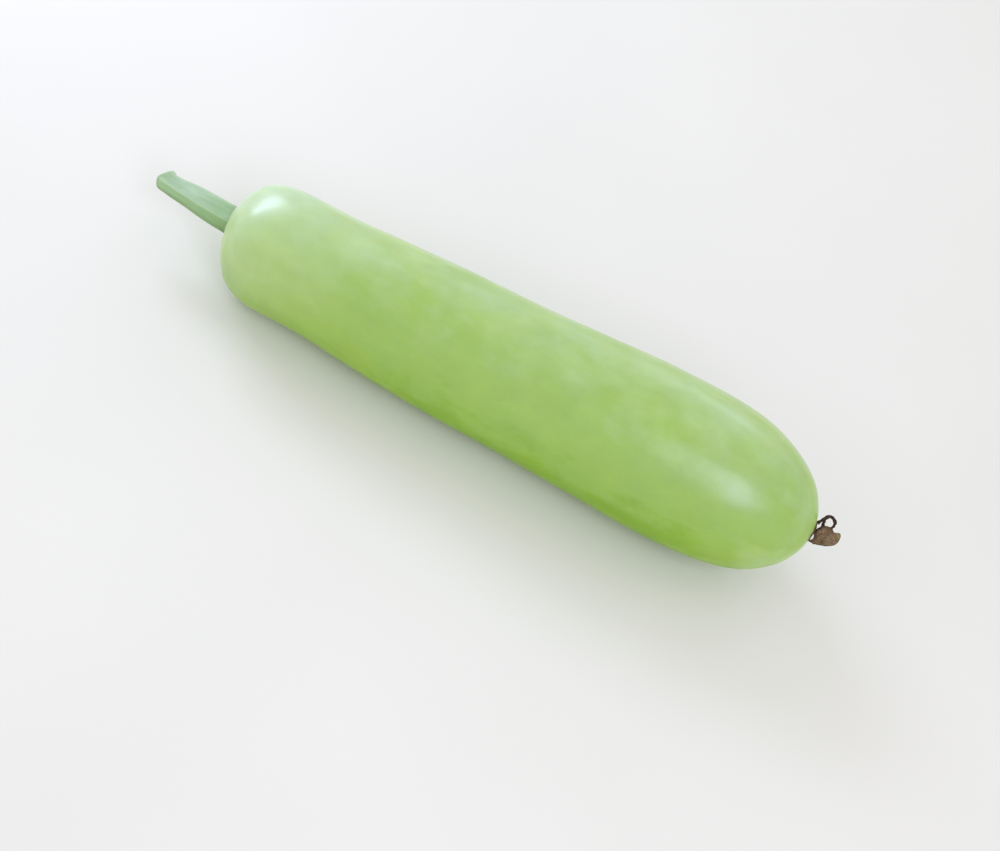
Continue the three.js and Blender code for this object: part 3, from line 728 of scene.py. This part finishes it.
def ribbon(points, name, node, mat, width, thick, twist, seed, taper=(1.0, 1.0)):
    """A shrivelled petal: a creased strip that follows the points, with a twist along it."""
    STEPS, SIDES = 120, 40
    q = np.linspace(0, 1, STEPS)
    C = spline(points, q)
    T = np.gradient(C, axis=0)
    T /= np.linalg.norm(T, axis=1)[:, None]
    ref = np.array([0.0, 0.0, 1.0])
    B = ref - (T @ ref)[:, None] * T
    B /= np.linalg.norm(B, axis=1)[:, None]
    S = np.cross(B, T)
    a = np.linspace(0, 2 * np.pi, SIDES, endpoint=False)
    tw = twist * (q - 0.5) * 2 + 0.35 * np.sin(q * 9 + seed)
    size = (taper[0] * (1 - q) + taper[1] * q) * (1 + 0.12 * np.sin(q * 17 + seed) + 0.06 * np.sin(q * 41))
    A = np.repeat(a[None], STEPS, 0)
    # a section folded along its length: a thick bent strip
    p = np.cos(A)
    o = np.sin(A)
    fold = 0.55 * p * p
    su = width * size[:, None] * p
    sv = thick * size[:, None] * (o * (1.0 - 0.25 * p * p)) + thick * fold * size[:, None]
    su = su + 0.04 * np.sin(6 * A + q[:, None] * 30)
    ct, st = np.cos(tw)[:, None], np.sin(tw)[:, None]
    e1 = su * ct - sv * st
    e2 = su * st + sv * ct
    P = C[:, None, :] + S[:, None, :] * e1[..., None] + B[:, None, :] * e2[..., None]
    rough = 0.05 * Waves(1.3, 30, 70 + seed)(P[..., 0], P[..., 1], P[..., 2])
    dirn = P - C[:, None, :]
    dirn /= np.maximum(np.linalg.norm(dirn, axis=2)[..., None], 1e-6)
    P = P + dirn * rough[..., None]
    ends = np.stack([P[0].mean(0) - T[0] * 0.12, P[-1].mean(0) + T[-1] * 0.12])
    V = np.concatenate([P.reshape(-1, 3), ends])
    row = to_row(V[:, 0], V[:, 1], V[:, 2])
    f = tube_faces(STEPS, SIDES, STEPS * SIDES, STEPS * SIDES + 1)
    vein = np.clip(np.cos(6 * A + q[:, None] * 12), 0, 1) ** 3
    edge = np.abs(p) ** 6 * 0.6
    at = {"vein": np.r_[vein.ravel(), 0, 0], "edge": np.r_[edge.ravel(), 0, 0], "olive": np.zeros(STEPS * SIDES + 2)}
    return mesh_object(name, row, f, at, mat, node)


make_fruit()
make_stalk()
make_scar()
make_broad_petal()
DARK = petal_material("dark_petal", lin(30, 18, 10), lin(58, 38, 24), lin(104, 78, 56), lin(28, 16, 10))
ribbon(CURLED_PETAL, "petal_loop", "petal_curled", DARK, 0.72, 0.46, 0.5, 3, (1.35, 0.95))
ribbon(FOLDED_PETAL, "petal_fold", "petal_folded", DARK, 0.78, 0.55, 0.3, 5, (0.8, 1.15))

# ------------------------------------------------------------------------------------------------
# Floor, light, camera
# ------------------------------------------------------------------------------------------------


def make_floor():
    me = bpy.data.meshes.new("floor")
    s = 40.0
    me.from_pydata([(-s, -s, 0), (s, -s, 0), (s, s, 0), (-s, s, 0)], [], [(0, 1, 2, 3)])
    ob = bpy.data.objects.new("floor", me)
    bpy.context.scene.collection.objects.link(ob)
    n = Nodes("floor_pale")
    c = n.noise(2.5, 3.0, 0.5)
    col = n.ramp(c, [(0.3, FLOOR_A), (0.7, FLOOR_B)], "LINEAR")
    # paler away from the lamps, so that the floor runs out evenly
    away = n.t.nodes.new("ShaderNodeVectorMath")
    away.operation = "LENGTH"
    n.link(n.tc.outputs["Object"], away.inputs[0])
    far = n.ramp(n.math("MULTIPLY", away.outputs["Value"], 0.25), [(0.2, 0.0), (0.8, 1.0)])
    col = n.mix(far, col, FLOOR_FAR)
    n.set(Base_Color=col, Roughness=n.math("ADD", 0.8, n.math("MULTIPLY", c, 0.1)), Specular_IOR_Level=0.2)
    me.materials.append(n.mat)
    return ob


FLOOR_A, FLOOR_B, FLOOR_FAR = (0.75, 0.740, 0.695), (0.80, 0.790, 0.745), (0.93, 0.93, 0.92)
make_floor()


def area(name, target, direction, distance, size, power, color=(1, 1, 1), size_y=None, roll=0.0):
    L = bpy.data.lights.new(name, "AREA")
    L.shape = "RECTANGLE" if size_y else "SQUARE"
    L.size = size
    if size_y:
        L.size_y = size_y
    L.energy = power
    L.color = color
    ob = bpy.data.objects.new(name, L)
    bpy.context.scene.collection.objects.link(ob)
    d = Vector(direction).normalized()
    ob.location = Vector(target) + d * distance
    ob.rotation_euler = ((-d).to_track_quat("-Z", "Y") @ Quaternion((0, 0, 1), math.radians(roll))).to_euler()
    return ob


world = bpy.data.worlds.new("studio")
bpy.context.scene.world = world
world.use_nodes = True
bg = world.node_tree.nodes["Background"]
bg.inputs[0].default_value = (1, 0.996, 0.962, 1)
bg.inputs[1].default_value = 0.815

area("key_back_left", (-0.12, 0, 0.05), (-0.695, 0.469, 0.545), 1.1, 0.72, 8.2, (0.50, 0.55, 0.74),
     size_y=0.32, roll=-22)
area("fill_top_right", (0.10, 0, 0.05), (0.33, -0.61, 0.72), 2.2, 0.80, 20.5, (0.60, 0.61, 0.80), size_y=1.25)
area("glint_back_right", (0.115, 0.005, 0.083), (0.12, 0.90, 0.38), 1.5, 0.34, 0.7, (0.75, 0.80, 1.0), size_y=0.20)

cam = bpy.data.cameras.new("camera")
cam.lens = 65
cam.sensor_width = 36
cam.sensor_fit = "HORIZONTAL"
cam.clip_start, cam.clip_end = 0.02, 50
cam_ob = bpy.data.objects.new("camera", cam)
bpy.context.scene.collection.objects.link(cam_ob)
right = Vector((0.87219956, 0.3747108, 0.31441969))
up = Vector((-0.48915021, 0.66814363, 0.56063907))
back = right.cross(up)
M = Matrix((right, up, back)).transposed().to_4x4()
M.translation = Vector((17.80426752, -604.78091942, 718.59534942)) / 1000
cam_ob.matrix_world = M
bpy.context.scene.camera = cam_ob

view = bpy.context.scene.view_settings
view.view_transform = "Standard"
view.look = "None"
view.exposure = 0
view.gamma = 1

bpy.context.view_layer.update()
